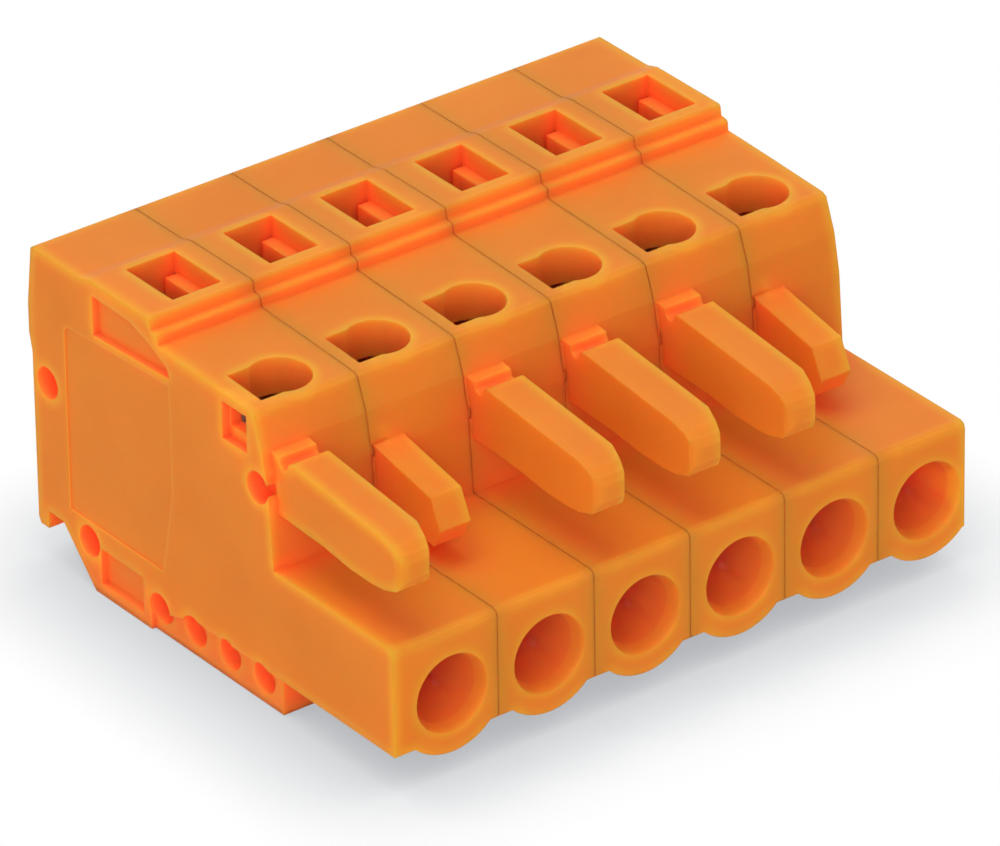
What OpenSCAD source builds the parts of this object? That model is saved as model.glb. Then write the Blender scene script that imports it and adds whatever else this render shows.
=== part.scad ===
// Pluggable terminal block: angled six-pole socket plug with cage clamps.
// Six moulded pole modules stand side by side along X. Wires and the tool enter from above,
// the mating pins of the header enter the round sockets from the front (-Y).

/* [Row] */
// Spacing of the poles
pitch = 5.08; // [5:0.02:6]
// Extra thickness of the first module's outer wall
end_wall = 0.32; // [0.2:0.02:0.8]
// How much narrower the last module is than the pitch
last_trim = 0.32; // [0.2:0.02:0.5]
// Gap left at each seam between two modules
seam_gap = 0.03; // [0.02:0.01:0.06]

/* [Housing profile] */
// Depth of the body from mating face to back
body_d = 25.75; // [25:0.05:28]
// Height of the band that holds the tool openings
body_h = 15.35; // [15:0.05:17]
// Drop from the tool band to the plateau behind it
back_drop = 0.2; // [0.1:0.05:0.5]
// Drop from the tool band to the wire deck
deck_drop = 1.05; // [0.9:0.05:1.4]
// Height of the ledge over the sockets
ledge_h = 7; // [6.9:0.1:7.6]
// Depth of the ledge, from mating face to head
ledge_d = 8.3; // [8.2:0.1:9]
// Height of the webs between the socket barrels
web_h = 1.85; // [1.5:0.05:2.2]
// Depth at which the base block begins
base_front = 8.1; // [8:0.1:9]
// Width of the tool band, front to back
band_d = 4.45; // [4.3:0.05:5]
// Distance from the back to the front edge of the tool band
band_back = 9; // [8.9:0.05:9.3]
// Depth of the slope between the base block and the foot
slope_d = 2.3; // [1.6:0.1:2.6]
// Height at which that slope ends
slope_h = 2.4; // [2:0.1:3]
// Height of the foot's sole over the table
foot_h = 1.55; // [1:0.05:2]
// Thickness of the foot
foot_t = 0.75; // [0.5:0.05:1.2]
// Height of the step in the back wall
back_step_h = 10.85; // [8:0.05:11.5]
// Depth of the step in the back wall
back_step = 0.2; // [0.1:0.05:0.4]
// How far the back wall leans in at its top
back_lean = 0.35; // [0.1:0.05:0.5]

/* [Sockets] */
// Bore of a socket
bore_d = 3.2; // [3.2:0.05:3.5]
// Wider mouth of a socket
mouth_d = 3.7; // [3.6:0.05:4]
// Depth of the tapered mouth
mouth_l = 0.75; // [0.4:0.05:1]
// Length of the straight bore in front of the contact nest
bore_l = 2.6; // [2.4:0.05:2.8]
// Width and height of the square nest that holds the fork contact
nest_w = 2.5; // [2.4:0.05:2.7]
// Height of the socket axis
bore_z = 3.85; // [3.8:0.05:4]
// Distance of the socket axis from the module's left seam
bore_x = 2.7; // [2.5:0.02:2.72]
// Outer diameter of a socket barrel
barrel_d = 5.6; // [5.2:0.1:5.8]

/* [Openings] */
// Width of a tool opening
tool_w = 2.54; // [2.4:0.02:2.6]
// Depth of a tool opening, front to back
tool_d = 3.4; // [3:0.1:3.6]
// Width of the guide rib in a tool opening
rib_w = 0.62; // [0.4:0.02:0.8]
// Depth of the guide rib below the rim
rib_drop = 1; // [0.6:0.1:1.4]
// Diameter of the round part of a wire entry
wire_d = 2.8; // [2.6:0.05:2.9]
// Distance of the wire axis from the head's foot
wire_y = 3.05; // [3:0.05:3.2]
// Width of the straight part of a wire entry, front to back
wire_slot_d = 2.45; // [2:0.05:2.5]

/* [Fingers] */
// Width of a wide coding finger
finger_w = 1.95; // [1.8:0.05:2.6]
// Width of a thin finger
thin_w = 1.6; // [1.2:0.05:2]
// Distance of a finger from the module's left seam
finger_x = 0.12; // [0.05:0.01:0.3]
// Reach of a wide finger past the mating face
finger_reach = 0.1; // [0:0.05:0.6]
// Height of a wide finger's tip over the table
finger_z = 9.75; // [9.5:0.05:10]
// Sideways taper of a wide finger's tip
finger_taper = 0.4; // [0.3:0.05:0.6]
// Length of a thin finger
thin_l = 4.3; // [3:0.1:5]

/* [Walls] */
// Side wall of a module
side_wall = 0.62; // [0.5:0.02:0.7]
// Outer wall of the last module
last_wall = 0.5; // [0.4:0.02:0.55]
// Roof of the spring chamber under the wire deck
roof_t = 1.75; // [1.5:0.05:1.9]
// Floor of the spring chamber
floor_t = 2.35; // [2.2:0.05:2.5]
// Wall between chamber and front of the head
front_wall = 1.85; // [1.7:0.05:2]
// Free room behind the clamp's loop, where it rocks back
clamp_room = 2.2; // [2.1:0.05:2.4]
// Room behind the tool opening, under the tool band
shaft_room = 0.6; // [0.4:0.05:0.8]
// Thickness of the tool band's roof
band_roof_t = 2.2; // [2:0.05:2.4]

/* [Joining pins] */
// Diameter of a blind pin socket
pin_socket_d = 1.5; // [1.3:0.05:1.6]
// Depth of a blind pin socket
pin_socket_l = 0.9; // [0.6:0.05:1]
// Radial clearance of a joining pin
pin_gap = 0.05; // [0.03:0.01:0.1]

/* [Metal parts] */
// Thickness of the busbar
bar_t = 0.5; // [0.4:0.05:0.6]
// Width of the busbar
bar_w = 3; // [2.6:0.05:3.1]
// Width of the busbar's tongue
tongue_w = 2; // [1.6:0.05:2.1]
// Thickness of the clamp strip
strip_t = 0.4; // [0.3:0.02:0.45]
// Radius of the clamp loop, at mid thickness
loop_r = 2.6; // [2.2:0.05:2.7]
// Width of the bridge at the clamp's front end
bridge_d = 0.7; // [0.5:0.05:0.8]
// Width of each rail beside the clamp's window
rail_w = 0.35; // [0.3:0.01:0.4]
// Angle through which the clamp rocks to open
rock_deg = 18; // [12:1:18]
// Thickness of a contact leaf
leaf_t = 0.3; // [0.2:0.02:0.35]
// Thickness of the over-spring
over_t = 0.18; // [0.12:0.01:0.2]
// Free gap between metal parts that lie together
metal_gap = 0.05; // [0.03:0.01:0.08]

/* [Hidden] */
$fn = 48;
eps = 0.01;
cut = 1;
poles = 6;
row_w = end_wall + poles * pitch - last_trim;
last_w = pitch - last_trim;
origin_x = end_wall - row_w / 2;
origin_y = (finger_reach - body_d) / 2;

// Heights and depths of the head
deck_z = body_h - deck_drop;
brow_z = deck_z - 0.25;
band_front = body_d - band_back;
tool_y = band_front + 0.75;
tool_x = bore_x - tool_w / 2;
rib_x = tool_x + tool_w - rib_w;
back_y = body_d - back_step;
slope_y = back_y - foot_t - 1.1;
head_y = ledge_d;

// Spring chamber
chamber_y = head_y + front_wall;
chamber_z = deck_z - 0.15 - roof_t;
band_roof_z = body_h - band_roof_t;
shaft_back = tool_y + tool_d + shaft_room;
wire_axis_y = head_y + wire_y;
wire_x = side_wall + 1.83;

// Metal parts
bar_x = side_wall + 0.33;
run_z = bore_z - 1.05;
bar_y = wire_axis_y + 1.5;
bar_back = bar_y + bar_t;
clamp_x = bar_x;
window_w = bar_w - 2 * rail_w;
lean_deg = rock_deg + 1;
pivot_y = bar_back + strip_t / 2 + 0.2;
pivot_z = floor_t + loop_r + strip_t / 2 + 0.15;
loop_y = pivot_y + loop_r;
loop_back = loop_y + loop_r + strip_t / 2 + clamp_room;
cross_z = chamber_z - 1.1;
tongue_top = chamber_z - 0.35;
tongue_z = cross_z - 1.35;
upper_z = cross_z - loop_r;
leg_l = cross_z - pivot_z - loop_r;
window_front = bar_y - metal_gap;
window_d = bar_t + 2.2;
leaf_half = 0.78;
fork_h = 1.6;
fork_root = ledge_d - 0.9;
fork_tip = mouth_l + bore_l + 0.25;
leaf_root = 1.08;

// Joining pins: place and height in the side profile
pin_z = web_h - 0.6;
PIN_PLACES = [
    [base_front + 1.3, pin_z],
    [base_front + 3.75, pin_z],
    [base_front + 6.2, pin_z],
    [base_front + 8.6, pin_z],
    [slope_y - slope_d + 0.35, slope_h - 0.1],
    [back_y - 1.05, 8.85],
    [head_y + 0.98, 10.6]
];

// Turns a profile drawn in (Y, Z) into a solid that runs along X
module along_x(x, w) {
    translate([x, 0, 0]) rotate([90, 0, 90]) linear_extrude(w) children();
}

// Cylinder along X
module rod_x(x, w, y, z, r) {
    translate([x, y, z]) rotate([0, 90, 0]) cylinder(h = w, r = r);
}

// Cylinder along Y
module rod_y(x, z, y, l, r1, r2) {
    translate([x, y + l, z]) rotate([90, 0, 0]) cylinder(h = l, r1 = r2, r2 = r1);
}

// Part of a ring round an axis along X, from angle a0 over angle a
module arc_x(x, w, y, z, r, t, a0, a) {
    translate([x, y, z])
        rotate([90, 0, 90])
            rotate([0, 0, a0])
                rotate_extrude(angle = a)
                    translate([r - t / 2, 0]) square([t, w]);
}

// ---- Housing ----

// Outline of the body in the side view
module body_profile() {
    polygon([
        [0, web_h],
        [base_front, web_h],
        [base_front, 0],
        [slope_y - slope_d, 0],
        [slope_y, slope_h],
        [back_y - foot_t, slope_h],
        [back_y - foot_t, foot_h],
        [back_y - 0.15, foot_h],
        [back_y, foot_h + 0.3],
        [back_y, back_step_h - 0.9],
        [body_d, back_step_h],
        [body_d, back_step_h + 1.4],
        [body_d - back_lean, body_h - back_drop - 0.1],
        [body_d - back_lean - 0.1, body_h - back_drop],
        [band_front + band_d + 0.7, body_h - back_drop],
        [band_front + band_d, body_h],
        [band_front + 0.14, body_h],
        [band_front + 0.04, body_h - 0.05],
        [band_front, body_h - 0.15],
        [band_front - 0.05, body_h - 0.52],
        [band_front - 0.36, body_h - 0.55],
        [band_front - 0.46, body_h - 0.6],
        [band_front - 0.5, body_h - 0.7],
        [band_front - 0.53, deck_z],
        [band_front - 3.5, deck_z - 0.1],
        [head_y + 1.4, brow_z],
        [head_y + 1.15, brow_z - 0.12],
        [head_y + 0.95, brow_z - 0.65],
        [head_y + 0.6, brow_z - 1.6],
        [head_y + 0.25, ledge_h + 3.6],
        [head_y, ledge_h],
        [0.3, ledge_h],
        [0.09, ledge_h - 0.09],
        [0, ledge_h - 0.3]
    ]);
}

// Wide coding finger in the side view, with its break-off notch at the root
module wide_finger_profile() {
    top = finger_z + 2.5;
    polygon([
        [head_y + 1.3, top + 0.2],
        [head_y + 0.65, top + 0.12],
        [head_y, top + 0.05],
        [head_y - 0.08, top - 0.25],
        [head_y - 0.28, top - 0.42],
        [head_y - 0.52, top - 0.35],
        [head_y - 0.7, top + 0.02],
        [head_y - 0.85, top + 0.1],
        [1.3, top - 0.52],
        [0.5, top - 0.72],
        [0.1, top - 1],
        [-finger_reach, top - 1.35],
        [-finger_reach, finger_z + 0.4],
        [0.25, finger_z - 0.2],
        [1.1, finger_z - 0.48],
        [2, finger_z - 0.57],
        [3.5, finger_z - 0.55],
        [5.3, finger_z - 0.33],
        [head_y + 1.3, finger_z - 0.15]
    ]);
}

// Wide coding finger: tip rounded on its left and tapered on its right
module wide_finger(x) {
    tip = -finger_reach;
    right = x + finger_w;
    intersection() {
        along_x(x, finger_w) wide_finger_profile();
        translate([0, 0, ledge_h]) linear_extrude(body_h - ledge_h)
            polygon([
                [x - 0.2, head_y + 2],
                [x - 0.2, tip + 0.7],
                [x + 0.1, tip + 0.1],
                [x + 0.7, tip - 0.2],
                [right - finger_taper - 0.3, tip - 0.3],
                [right - finger_taper, tip + 0.15],
                [right + finger_taper * 0.4, tip + 2],
                [right + finger_taper * 0.4, head_y + 2]
            ]);
    }
}

// Thin finger in the side view
module thin_finger_profile() {
    tip = head_y - thin_l;
    polygon([
        [head_y + 1, ledge_h + 4.1],
        [tip + 0.65, ledge_h + 3.2],
        [tip, ledge_h + 1.85],
        [tip + 0.5, ledge_h + 0.92],
        [head_y + 1, ledge_h + 1.35]
    ]);
}

// Space for the clamp, the busbar and the wire end in the side view
module chamber_profile() {
    polygon([
        [chamber_y, run_z - metal_gap],
        [pivot_y - 0.1, run_z - metal_gap],
        [pivot_y + 0.9, floor_t],
        [loop_back - loop_r, floor_t],
        [loop_back, floor_t + loop_r],
        [loop_back, chamber_z],
        [shaft_back, chamber_z + 0.15],
        [shaft_back, band_roof_z],
        [band_front + 0.2, band_roof_z],
        [band_front - 0.5, chamber_z],
        [chamber_y, chamber_z]
    ]);
}

// Square opening for the tool, narrowed below its rim by a guide rib
module tool_opening() {
    translate([tool_x, tool_y, body_h - rib_drop])
        cube([tool_w, tool_d, rib_drop + cut]);
    translate([tool_x, tool_y, band_roof_z - cut])
        cube([tool_w - rib_w, tool_d, body_h - band_roof_z]);
    translate([rib_x - eps, tool_y + tool_d - 0.15, band_roof_z - cut])
        cube([rib_w + eps, 0.15, body_h - band_roof_z]);
}

// Wire entry: a round funnel that runs out into a straight slot on its left
module wire_entry() {
    height = deck_z - chamber_z + 2 * cut;
    translate([side_wall, wire_axis_y - wire_slot_d / 2, chamber_z - cut])
        cube([wire_x - side_wall, wire_slot_d, height]);
    translate([wire_x, wire_axis_y, chamber_z - cut])
        cylinder(h = height, d = wire_d);
}

// Round socket for a pin of the header: tapered mouth, straight bore and square contact nest
module socket_bore() {
    nest_y = mouth_l + bore_l;
    rod_y(bore_x, bore_z, -eps, mouth_l + eps, mouth_d / 2, bore_d / 2);
    rod_y(bore_x, bore_z, -cut, nest_y + cut, bore_d / 2, bore_d / 2);
    translate([bore_x - nest_w / 2, nest_y, bore_z - nest_w / 2])
        cube([nest_w, chamber_y + 0.5 - nest_y, nest_w]);
}

// Recesses in the outer face of the first module: wire inspection window, two bare panels
// and the low step over the joining sockets
module end_face_recesses() {
    x = -end_wall;
    along_x(x - cut, cut + 0.3)
        polygon([
            [band_front + 4.2, deck_z - 1.55],
            [band_front + 4.2, deck_z + 0.35],
            [band_front + 1.5, deck_z + 0.3],
            [band_front + 0.1, deck_z - 0.15],
            [band_front - 1.15, deck_z - 0.75],
            [band_front - 1.35, deck_z - 1.25]
        ]);
    along_x(x - cut, cut + 0.06)
        polygon([
            [band_front + 6.35, deck_z - 11],
            [band_front + 6.35, deck_z - 2.25],
            [band_front + 6.1, deck_z - 2],
            [band_front - 1.25, deck_z - 1.6],
            [band_front - 1.25, deck_z - 7],
            [band_front - 0.4, deck_z - 11]
        ]);
    translate([x - cut, head_y + 1.65, deck_z - 2.4])
        cube([cut + 0.4, 1.75, 1.8]);
    translate([x - cut, head_y + 2, deck_z - 1.85])
        cube([cut + end_wall + side_wall + 0.5, 1.3, 1.1]);
    translate([x - cut, base_front + 9.75, 0.55])
        cube([cut + 0.3, 3.1, 1.75]);
    along_x(x - cut, cut + 0.2)
        polygon([
            [base_front - 0.5, -1],
            [base_front - 0.5, web_h],
            [base_front + 6, web_h + 0.02],
            [base_front + 9.2, web_h - 1],
            [base_front + 9.2, -1]
        ]);
}

// One moulded pole module. kind is "wide" or "thin" and names its finger
module pole_module(index, kind) {
    first = index == 0;
    last = index == poles - 1;
    left = first ? -end_wall : seam_gap / 2;
    right = last ? last_w : pitch - seam_gap / 2;
    chamber_right = last ? last_w - last_wall : pitch + 1;
    difference() {
        union() {
            along_x(left, right - left) body_profile();
            intersection() {
                rod_y(bore_x, bore_z, 0, base_front + 0.5, barrel_d / 2, barrel_d / 2);
                translate([max(left, 0.02), -1, 0])
                    cube([right - max(left, 0.02), base_front + 3, ledge_h - 0.5]);
            }
            if (kind == "wide") {
                wide_finger(finger_x);
            } else {
                along_x(finger_x, thin_w) thin_finger_profile();
            }
        }
        along_x(side_wall, chamber_right - side_wall) chamber_profile();
        tool_opening();
        wire_entry();
        socket_bore();
        for (place = PIN_PLACES)
            rod_x(left - cut, pin_socket_l + cut, place[0], place[1], pin_socket_d / 2);
        if (first) end_face_recesses();
    }
    if (!last)
        for (place = PIN_PLACES)
            rod_x(right - 0.2, pin_socket_l + 0.1, place[0], place[1],
                pin_socket_d / 2 - pin_gap);
}

// ---- Metal parts ----

// One leaf of the fork contact seen from above, on the right of the axis
module leaf_plan() {
    polygon([
        [leaf_root, fork_root + 0.9],
        [leaf_root, fork_root],
        [leaf_half, fork_root - 0.65],
        [leaf_half - 0.16, fork_tip + 0.8],
        [leaf_half, fork_tip],
        [leaf_half - leaf_t, fork_tip],
        [leaf_half - 0.16 - leaf_t, fork_tip + 0.8],
        [leaf_half - leaf_t, fork_root - 0.65],
        [leaf_root - leaf_t, fork_root],
        [leaf_root - leaf_t, fork_root + 0.9]
    ]);
}

// Copper busbar: tongue for the clamp, upright, run along the floor and fork contact
module busbar() {
    bend_r = 0.4 + bar_t / 2;
    translate([bar_x + (bar_w - tongue_w) / 2, bar_y, tongue_z - eps])
        cube([tongue_w, bar_t, tongue_top - tongue_z + eps]);
    translate([bar_x, bar_y, run_z + bar_t / 2 + bend_r])
        cube([bar_w, bar_t, tongue_z - run_z - bar_t / 2 - bend_r]);
    arc_x(bar_x, bar_w, bar_y + bar_t / 2 - bend_r, run_z + bar_t / 2 + bend_r,
        bend_r, bar_t, 270, 90);
    translate([bore_x - leaf_root, fork_root, run_z])
        cube([2 * leaf_root, bar_y + bar_t / 2 - bend_r - fork_root, bar_t]);
    intersection() {
        translate([bore_x, 0, run_z]) linear_extrude(2.1) {
            leaf_plan();
            mirror([1, 0]) leaf_plan();
        }
        union() {
            translate([bore_x - 2, fork_root - 0.3, 0]) cube([4, 3, ledge_h]);
            translate([bore_x - 2, 0, bore_z - fork_h / 2]) cube([4, ledge_d, fork_h]);
        }
    }
}

// Thin steel clip round the fork contact, open at the bottom
module over_spring() {
    inner = leaf_half + metal_gap;
    length = 1.9;
    half_h = fork_h / 2 + metal_gap;
    y = fork_root - 0.75 - length;
    translate([bore_x - inner - over_t, y, bore_z + half_h])
        cube([2 * (inner + over_t), length, over_t]);
    for (side = [-1, 1])
        translate([bore_x + side * (inner + over_t / 2), y + length / 2, bore_z])
            cube([over_t, length, 2 * half_h + eps], center = true);
    for (side = [0, 1])
        translate([bore_x - inner - over_t + side * (2 * inner + over_t - 0.25), y,
            bore_z - half_h - over_t])
            cube([0.25 + over_t, length, over_t]);
}

// Point on a circle in the side view
function on_circle(centre, r, a) = [centre[0] + r * cos(a), centre[1] + r * sin(a)];

// Points of an arc in the side view, one every 7 degrees or closer
function arc_points(centre, r, a0, a1) =
    let (steps = ceil(abs(a1 - a0) / 7))
    [for (i = [0:steps]) on_circle(centre, r, a0 + (a1 - a0) * i / steps)];

// Side view of the clamp strip: leaning leg, lower bend, back, upper bend and cross bar
module clamp_profile() {
    lower = [loop_y, pivot_z];
    upper = [loop_y, upper_z];
    outer_r = loop_r + strip_t / 2;
    inner_r = loop_r - strip_t / 2;
    start = 180 - lean_deg;
    leg = leg_l * [sin(start), -cos(start)];
    front = window_front - bridge_d;
    polygon(concat(
        [on_circle(lower, outer_r, start) + leg],
        arc_points(lower, outer_r, start, 360),
        arc_points(upper, outer_r, 0, 90),
        [[front, cross_z + strip_t / 2], [front, cross_z - strip_t / 2]],
        arc_points(upper, inner_r, 90, 0),
        arc_points(lower, inner_r, 360, start),
        [on_circle(lower, inner_r, start) + leg]
    ));
}

// Cage clamp: one strip bent to a loop, with a window that the busbar's tongue passes through
module cage_clamp() {
    difference() {
        along_x(clamp_x, bar_w) clamp_profile();
        translate([clamp_x + rail_w, window_front, cross_z - 1])
            cube([window_w, window_d, 2]);
    }
}

// ---- Row ----

module at_pole(index) {
    translate([origin_x + index * pitch, origin_y, 0]) children();
}

module housing(index, kind) {
    color("darkorange") at_pole(index) pole_module(index, kind);
}

module pole_busbar(index) {
    color("silver") at_pole(index) busbar();
}

module pole_over_spring(index) {
    color("slategray") at_pole(index) over_spring();
}

module pole_clamp(index) {
    color("lightgray") at_pole(index) cage_clamp();
}

housing(0, "wide");  // housing_1
housing(1, "thin");  // housing_2
housing(2, "wide");  // housing_3
housing(3, "wide");  // housing_4
housing(4, "wide");  // housing_5
housing(5, "thin");  // housing_6
pole_busbar(0);  // busbar_1
pole_busbar(1);  // busbar_2
pole_busbar(2);  // busbar_3
pole_busbar(3);  // busbar_4
pole_busbar(4);  // busbar_5
pole_busbar(5);  // busbar_6
pole_over_spring(0);  // over_spring_1
pole_over_spring(1);  // over_spring_2
pole_over_spring(2);  // over_spring_3
pole_over_spring(3);  // over_spring_4
pole_over_spring(4);  // over_spring_5
pole_over_spring(5);  // over_spring_6
pole_clamp(0);  // cage_clamp_1
pole_clamp(1);  // cage_clamp_2
pole_clamp(2);  // cage_clamp_3
pole_clamp(3);  // cage_clamp_4
pole_clamp(4);  // cage_clamp_5
pole_clamp(5);  // cage_clamp_6
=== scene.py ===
import math

import bmesh
import bpy
from mathutils import Matrix, Vector


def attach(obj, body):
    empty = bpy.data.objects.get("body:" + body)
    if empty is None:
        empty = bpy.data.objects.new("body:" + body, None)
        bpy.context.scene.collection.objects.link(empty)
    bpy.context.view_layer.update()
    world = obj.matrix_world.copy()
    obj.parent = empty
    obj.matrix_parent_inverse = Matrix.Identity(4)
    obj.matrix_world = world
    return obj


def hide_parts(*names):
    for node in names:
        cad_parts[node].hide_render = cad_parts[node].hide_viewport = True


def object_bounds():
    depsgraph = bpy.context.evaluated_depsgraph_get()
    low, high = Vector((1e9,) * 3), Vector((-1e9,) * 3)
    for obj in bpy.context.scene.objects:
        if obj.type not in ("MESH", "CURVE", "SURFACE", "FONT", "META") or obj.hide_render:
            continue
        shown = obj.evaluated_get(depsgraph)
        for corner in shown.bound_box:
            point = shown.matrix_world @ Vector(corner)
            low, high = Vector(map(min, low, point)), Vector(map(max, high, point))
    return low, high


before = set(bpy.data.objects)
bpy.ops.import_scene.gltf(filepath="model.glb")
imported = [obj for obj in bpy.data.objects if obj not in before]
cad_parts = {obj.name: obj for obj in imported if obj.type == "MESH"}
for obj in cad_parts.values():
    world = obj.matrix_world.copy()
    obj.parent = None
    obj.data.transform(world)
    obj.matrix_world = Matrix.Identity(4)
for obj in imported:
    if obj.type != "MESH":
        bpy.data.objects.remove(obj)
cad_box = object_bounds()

MM = 0.001

# ---- Camera ----
AZIMUTH = -36.855
ELEVATION = 29.795
ROLL = -0.898
DISTANCE = 461.9 * MM
LENS = 389.6
AIM = Vector((-0.165, -0.325, 6.86)) * MM

# ---- Edges of the mouldings ----
FILLET = 0.09 * MM
FILLET_STEPS = 2
SHARP_DEG = 28
FLAT_DEG = 0.5
WELD = 0.002 * MM

# ---- Seams between the modules ----
PITCH = 5.08 * MM
FIRST_SEAM = -9.84 * MM
SEAM_TOLERANCE = 0.02 * MM
ROW_HALF = 13 * MM
SEAM_SHARE = 0.45

# ---- Slit of the joining socket that breaks the head's front ----
PIN_SLIT_Y = (-5.4 * MM, -3.2 * MM)
PIN_SLIT_Z = (9.6 * MM, 11.6 * MM)


def make_camera():
    """Camera at the photograph's viewing angle."""
    a, e, r = (math.radians(v) for v in (AZIMUTH, ELEVATION, ROLL))
    back = Vector((math.sin(a) * math.cos(e), -math.cos(a) * math.cos(e), math.sin(e)))
    level = Vector((0, 0, 1)).cross(back).normalized()
    upright = back.cross(level)
    right = level * math.cos(r) + upright * math.sin(r)
    up = upright * math.cos(r) - level * math.sin(r)
    data = bpy.data.cameras.new("camera")
    data.lens = LENS
    data.sensor_width = 36
    data.clip_end = 20
    camera = bpy.data.objects.new("camera", data)
    turn = Matrix((right, up, back)).transposed().to_4x4()
    camera.matrix_world = Matrix.Translation(AIM + back * DISTANCE) @ turn
    bpy.context.scene.collection.objects.link(camera)
    bpy.context.scene.camera = camera


make_camera()


# ---- Material helpers ----
OCCLUSION_SAMPLES = 2
BEVEL_SAMPLES = 2


def new_material(name):
    """Empty node material with its output; gives the material, its node tree and the output."""
    material = bpy.data.materials.new(name)
    material.use_nodes = True
    tree = material.node_tree
    tree.nodes.clear()
    return material, tree, tree.nodes.new("ShaderNodeOutputMaterial")


def add(tree, kind, inputs=None, **settings):
    """New node with its settings and socket values."""
    node = tree.nodes.new(kind)
    for name, value in settings.items():
        setattr(node, name, value)
    for name, value in (inputs or {}).items():
        node.inputs[name].default_value = value
    return node


def noise(tree, place, scale, detail=3.0, roughness=0.5):
    """Noise texture in object space; scale is in features per metre."""
    texture = add(tree, "ShaderNodeTexNoise", {
        "Scale": scale, "Detail": detail, "Roughness": roughness})
    tree.links.new(place, texture.inputs["Vector"])
    return texture.outputs["Fac"]


def ramp(tree, factor, stops):
    """Colour ramp through the given (position, colour) stops."""
    node = add(tree, "ShaderNodeValToRGB")
    elements = node.color_ramp.elements
    while len(elements) < len(stops):
        elements.new(0.5)
    for element, (position, colour) in zip(elements, stops):
        element.position = position
        element.color = (*colour, 1)
    tree.links.new(factor, node.inputs["Fac"])
    return node.outputs["Color"]


def remap(tree, value, low, high, from_low=0.0, from_high=1.0):
    """Value mapped from one range to another."""
    node = add(tree, "ShaderNodeMapRange", {
        "From Min": from_low, "From Max": from_high, "To Min": low, "To Max": high})
    tree.links.new(value, node.inputs["Value"])
    return node.outputs["Result"]


def calc(tree, operation, first, second=None):
    """Result of a Math node; each value is a socket or a number."""
    node = add(tree, "ShaderNodeMath", operation=operation)
    for value, socket in zip((first, second), node.inputs):
        if isinstance(value, (int, float)):
            socket.default_value = value
        elif value is not None:
            tree.links.new(value, socket)
    return node.outputs[0]


def product(tree, *values):
    """Product of several sockets or numbers."""
    result = values[0]
    for value in values[1:]:
        result = calc(tree, "MULTIPLY", result, value)
    return result


def seen_rays(tree):
    """1 for camera, glossy and transmission rays, 0 for the rays that light the object."""
    path = add(tree, "ShaderNodeLightPath")
    direct = calc(tree, "MAXIMUM", path.outputs["Is Camera Ray"], path.outputs["Is Glossy Ray"])
    return calc(tree, "MAXIMUM", direct, path.outputs["Is Transmission Ray"])


def bump(tree, height, distance, strength=1.0, normal=None):
    """Bump node of the given height in metres."""
    node = add(tree, "ShaderNodeBump", {"Strength": strength, "Distance": distance})
    tree.links.new(height, node.inputs["Height"])
    if normal:
        tree.links.new(normal, node.inputs["Normal"])
    return node.outputs["Normal"]


def finish_material(tree, output, shader):
    tree.links.new(shader.outputs[0], output.inputs["Surface"])


def mix_colours(tree, factor, first, second, blend="MIX"):
    """Mixes two colours; each is a socket or a plain colour."""
    node = add(tree, "ShaderNodeMix", data_type="RGBA", blend_type=blend)
    for value, socket in ((factor, node.inputs[0]), (first, node.inputs[6]), (second, node.inputs[7])):
        if isinstance(value, tuple):
            socket.default_value = (*value, 1)
        elif isinstance(value, float):
            socket.default_value = value
        else:
            tree.links.new(value, socket)
    return node.outputs[2]


def occlusion(tree, distance, inside=False):
    """How open the surface is within a distance, 0 to 1; from inside it marks thin edges."""
    node = add(
        tree, "ShaderNodeAmbientOcclusion", {"Distance": distance},
        samples=OCCLUSION_SAMPLES, inside=inside)
    return node.outputs["AO"]


# ---- Materials ----
ORANGE = (0.77, 0.222, 0.022)
ORANGE_DEEP = (0.75, 0.207, 0.020)
ORANGE_LIGHT = (0.79, 0.237, 0.024)
# Painted shade: a glowing red put into recesses, where shade falls
ORANGE_PAINTED_RECESS_SHADE = (1.0, 0.120, 0.045)
# Painted highlight: yellow light on thin, open edges
ORANGE_PAINTED_HIGHLIGHT = (0.80, 0.405, 0.030)
# Painted shade: dark red in creases, inner corners and seams
ORANGE_PAINTED_CREASE_SHADE = (0.68, 0.075, 0.014)
# Painted shade: deeper red on the socket walls behind their mouths
ORANGE_PAINTED_BORE_SHADE = (0.92, 0.090, 0.045)
CORE_FRONT = 0.74 * MM
CORE_BACK = 5.0 * MM
CORE_TOP = 5.9 * MM
END_RADIUS = 0.45 * MM
EDGE_RADIUS = 0.12 * MM


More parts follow.
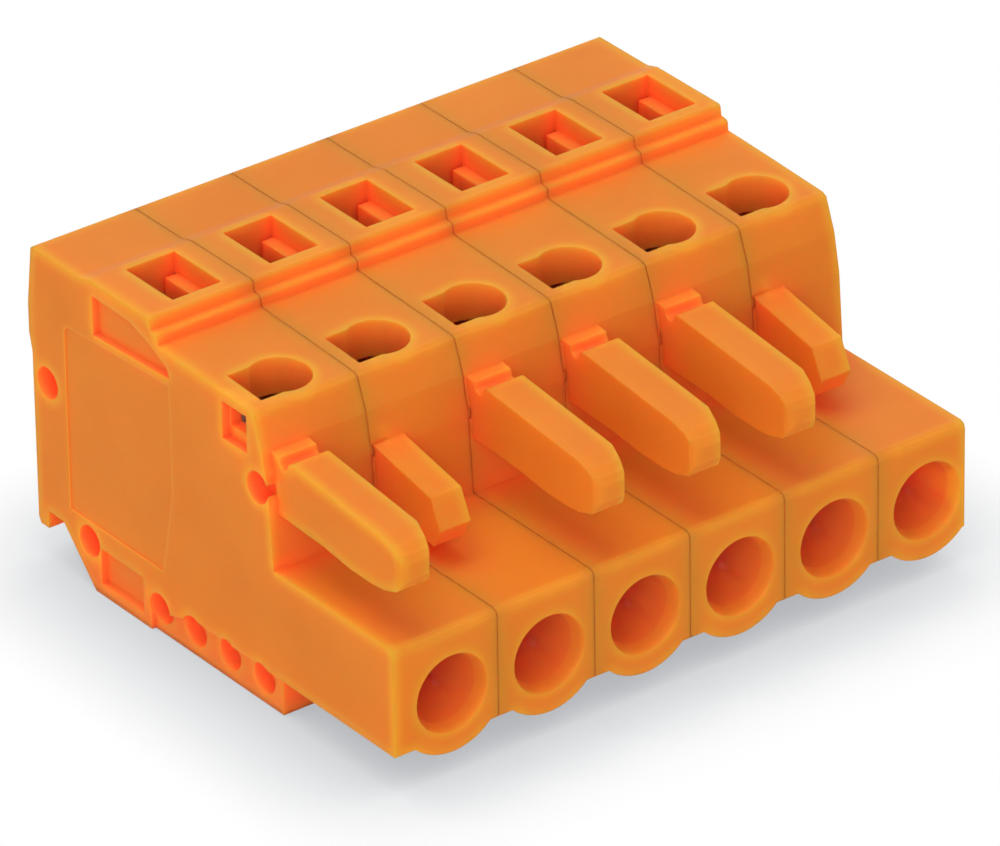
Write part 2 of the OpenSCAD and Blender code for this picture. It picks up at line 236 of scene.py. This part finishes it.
def orange_polyamide():
    """Moulded polyamide with fine spark-eroded grain; painted highlight on its edges, painted red
    shade in recesses, dark painted shade in creases and deeper red painted shade in the socket bores.
    """
    material, tree, output = new_material("orange_polyamide")
    place = add(tree, "ShaderNodeTexCoord").outputs["Object"]
    end, front = cad_box[0].x, cad_box[0].y
    clouds = noise(tree, place, 220, 4)
    colour = ramp(tree, clouds, [(0.3, ORANGE_DEEP), (0.5, ORANGE), (0.72, ORANGE_LIGHT)])
    openness = occlusion(tree, 2.5 * MM)
    # Painted shade: red mixed in where the surface is closed in within 2.5 mm, in recesses and under
    # the fingers
    painted_recess_shade = remap(tree, openness, 0.95, 0.0, 0.1, 0.9)
    edge = remap(tree, occlusion(tree, 0.6 * MM, True), 0.9, 0.0, 0.45, 0.95)
    # Painted shade: dark red where the surface is closed in within 0.3 mm, in creases, inner corners
    # and the seams between modules
    painted_crease_shade = remap(tree, occlusion(tree, 0.3 * MM), 0.7, 0.0, 0.3, 0.7)
    spot = add(tree, "ShaderNodeSeparateXYZ")
    tree.links.new(place, spot.inputs[0])
    along, depth, height = spot.outputs
    from_seam = calc(tree, "PINGPONG", calc(tree, "SUBTRACT", along, FIRST_SEAM), PITCH / 2)
    inner = remap(tree, from_seam, 0.1, 1.0, 0.3 * MM, 1.1 * MM)
    outer = remap(
        tree, calc(tree, "ABSOLUTE", along), 0.0, 1.0, ROW_HALF - 0.4 * MM, ROW_HALF + 0.4 * MM)
    # Painted highlight: thin edges that are open and away from the seams turn yellow
    painted_edge_highlight = product(tree, edge, openness, calc(tree, "MAXIMUM", inner, outer))
    # Polished wall of a socket behind its mouth: its deeper red colour is painted shade, its lower
    # roughness and stronger specular are the real polish
    bore_polish_and_shade = product(
        tree,
        remap(tree, depth, 0.0, 1.0, front + CORE_FRONT - 0.02 * MM, front + CORE_FRONT + 0.02 * MM),
        remap(tree, depth, 1.0, 0.0, front + CORE_BACK - 0.5 * MM, front + CORE_BACK + 0.5 * MM),
        remap(tree, height, 1.0, 0.0, CORE_TOP - 0.1 * MM, CORE_TOP + 0.1 * MM),
        remap(tree, openness, 1.0, 0.0, 0.5, 0.65))
    colour = mix_colours(tree, painted_edge_highlight, colour, ORANGE_PAINTED_HIGHLIGHT)
    colour = mix_colours(tree, painted_recess_shade, colour, ORANGE_PAINTED_RECESS_SHADE)
    colour = mix_colours(tree, painted_crease_shade, colour, ORANGE_PAINTED_CREASE_SHADE)
    colour = mix_colours(tree, bore_polish_and_shade, colour, ORANGE_PAINTED_BORE_SHADE)
    grain = noise(tree, place, 9000, 2)
    waves = noise(tree, place, 700, 2)
    shader = add(tree, "ShaderNodeBsdfPrincipled", {
        "IOR": 1.53, "Subsurface Weight": 0.9,
        "Subsurface Scale": 1.9 * MM, "Subsurface Radius": (1.0, 0.12, 0.04)})
    shader.subsurface_method = "BURLEY"
    tree.links.new(colour, shader.inputs["Base Color"])
    rough = product(tree, remap(tree, grain, 0.34, 0.5), remap(tree, bore_polish_and_shade, 1.0, 0.4))
    tree.links.new(rough, shader.inputs["Roughness"])
    tree.links.new(remap(tree, bore_polish_and_shade, 0.09, 0.6), shader.inputs["Specular IOR Level"])
    rounded = add(tree, "ShaderNodeBevel", {"Radius": EDGE_RADIUS}, samples=BEVEL_SAMPLES)
    tree.links.new(
        remap(tree, along, END_RADIUS, EDGE_RADIUS, end + 0.4 * MM, end + 0.9 * MM),
        rounded.inputs["Radius"])
    broad = bump(tree, waves, 0.02 * MM, 0.5, rounded.outputs["Normal"])
    fine = bump(tree, grain, 0.003 * MM, 0.6, broad)
    tree.links.new(fine, shader.inputs["Normal"])
    finish_material(tree, output, shader)
    return material


def rolled_metal(name, colour, roughness, stretch):
    """Rolled strip: brushed lines along one direction over a plain metal."""
    material, tree, output = new_material(name)
    place = add(tree, "ShaderNodeTexCoord").outputs["Object"]
    mapping = add(tree, "ShaderNodeMapping")
    mapping.inputs["Scale"].default_value = stretch
    tree.links.new(place, mapping.inputs["Vector"])
    lines = noise(tree, mapping.outputs["Vector"], 6000, 3)
    shader = add(tree, "ShaderNodeBsdfPrincipled", {"Metallic": 1.0})
    darker = tuple(c * 0.8 for c in colour)
    tree.links.new(ramp(tree, lines, [(0.3, darker), (0.7, colour)]), shader.inputs["Base Color"])
    tree.links.new(remap(tree, lines, roughness - 0.08, roughness + 0.1), shader.inputs["Roughness"])
    tree.links.new(bump(tree, lines, 0.002 * MM, 0.5), shader.inputs["Normal"])
    finish_material(tree, output, shader)
    return material


MATERIALS = {
    "housing": orange_polyamide(),
    "busbar": rolled_metal("tinned_copper", (0.72, 0.70, 0.66), 0.3, (1.0, 0.05, 0.05)),
    "over_spring": rolled_metal("spring_steel_thin", (0.56, 0.56, 0.56), 0.28, (1.0, 0.05, 1.0)),
    "cage_clamp": rolled_metal("spring_steel", (0.60, 0.59, 0.57), 0.25, (0.05, 1.0, 1.0)),
}


# ---- Pieces ----
def kind_of(node):
    """Name of a node without its number."""
    return node.rsplit("_", 1)[0]


def set_material(piece, material):
    piece.data.materials.clear()
    piece.data.materials.append(material)


def in_slit(point):
    """True in the small box round the slit of the joining socket."""
    return PIN_SLIT_Y[0] < point.y < PIN_SLIT_Y[1] and PIN_SLIT_Z[0] < point.z < PIN_SLIT_Z[1]


def edge_weight(edge):
    """Share of the fillet that an edge gets: less along the seams, none at the slit."""
    if len(edge.link_faces) != 2 or edge.calc_face_angle(0) < math.radians(SHARP_DEG):
        return 0.0
    ends = [vert.co for vert in edge.verts]
    if all(in_slit(end) for end in ends):
        return 0.0
    middle = (ends[0] + ends[1]) / 2
    off_seam = (middle.x - FIRST_SEAM + PITCH / 2) % PITCH - PITCH / 2
    at_seam = abs(middle.x) < ROW_HALF and abs(off_seam) < SEAM_TOLERANCE
    return SEAM_SHARE if at_seam else 1.0


def rounded_copy(node, fillet):
    """Copy of a CAD node with its flat faces made whole and its sharp edges rounded."""
    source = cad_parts[node]
    mesh = bpy.data.meshes.new(node + "_moulding")
    work = bmesh.new()
    work.from_mesh(source.data)
    bmesh.ops.remove_doubles(work, verts=work.verts, dist=WELD)
    bmesh.ops.dissolve_limit(
        work, angle_limit=math.radians(FLAT_DEG), verts=work.verts, edges=work.edges)
    weights = work.edges.layers.float.new("bevel_weight_edge")
    for edge in work.edges:
        edge[weights] = edge_weight(edge)
    work.to_mesh(mesh)
    work.free()
    piece = bpy.data.objects.new(node + "_moulding", mesh)
    bpy.context.scene.collection.objects.link(piece)
    bevel = piece.modifiers.new("fillet", "BEVEL")
    bevel.width = fillet
    bevel.segments = FILLET_STEPS
    bevel.limit_method = "WEIGHT"
    bevel.use_clamp_overlap = True
    bevel.harden_normals = False
    return piece


def dress(node):
    """Every node takes its material; the mouldings are replaced by rounded copies."""
    kind = kind_of(node)
    set_material(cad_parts[node], MATERIALS[kind])
    if kind == "housing":
        piece = rounded_copy(node, FILLET)
        set_material(piece, MATERIALS[kind])
        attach(piece, "block")
        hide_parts(node)


for name in sorted(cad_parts):
    dress(name)


# ---- Stage ----
SHADOW = (0.42, 0.43, 0.45)
HALF_SHADOW = (0.74, 0.75, 0.77)
SHADOW_REACH = 7 * MM
FLOOR_HALF = 3.0


def make_floor():
    """Pale floor: white to the camera, with a soft contact shadow made by occlusion."""
    material, tree, output = new_material("floor")
    diffuse = add(tree, "ShaderNodeBsdfDiffuse", {"Color": (0.86, 0.87, 0.88, 1)})
    seen = add(tree, "ShaderNodeEmission", {"Strength": 1.0})
    shade = ramp(tree, occlusion(tree, SHADOW_REACH), [
        (0.3, SHADOW), (0.62, HALF_SHADOW), (0.96, (1, 1, 1))])
    tree.links.new(shade, seen.inputs["Color"])
    mix = add(tree, "ShaderNodeMixShader")
    tree.links.new(seen_rays(tree), mix.inputs["Fac"])
    tree.links.new(diffuse.outputs[0], mix.inputs[1])
    tree.links.new(seen.outputs[0], mix.inputs[2])
    tree.links.new(mix.outputs[0], output.inputs["Surface"])
    mesh = bpy.data.meshes.new("floor")
    h = FLOOR_HALF
    corners = [(-h, -h, 0), (h, -h, 0), (h, h, 0), (-h, h, 0)]
    mesh.from_pydata(corners, [], [(0, 1, 2, 3)])
    mesh.materials.append(material)
    floor = bpy.data.objects.new("floor", mesh)
    bpy.context.scene.collection.objects.link(floor)


def make_world():
    """White surroundings that give soft even light."""
    world = bpy.data.worlds.new("studio")
    bpy.context.scene.world = world
    world.use_nodes = True
    tree = world.node_tree
    tree.nodes.clear()
    output = tree.nodes.new("ShaderNodeOutputWorld")
    ambient = add(tree, "ShaderNodeBackground", {"Color": (0.95, 0.97, 1.0, 1), "Strength": 0.5})
    white = add(tree, "ShaderNodeBackground", {"Color": (1, 1, 1, 1), "Strength": 1.0})
    mix = add(tree, "ShaderNodeMixShader")
    tree.links.new(seen_rays(tree), mix.inputs["Fac"])
    tree.links.new(ambient.outputs[0], mix.inputs[1])
    tree.links.new(white.outputs[0], mix.inputs[2])
    tree.links.new(mix.outputs[0], output.inputs["Surface"])


def soft_box(name, direction, distance, size, power):
    """Square area lamp that faces the object's centre."""
    data = bpy.data.lights.new(name, "AREA")
    data.shape = "SQUARE"
    data.size = size
    data.energy = power
    lamp = bpy.data.objects.new(name, data)
    towards = Vector(direction).normalized()
    lamp.matrix_world = (
        Matrix.Translation(AIM + towards * distance)
        @ towards.to_track_quat("Z", "Y").to_matrix().to_4x4())
    bpy.context.scene.collection.objects.link(lamp)


make_floor()
make_world()
soft_box("key", (-0.2, 0.15, 1.0), 0.6, 0.5, 1.75)
soft_box("fill", (-0.75, -0.9, 0.6), 0.7, 0.45, 1.85)
bpy.context.scene.view_settings.view_transform = "Standard"
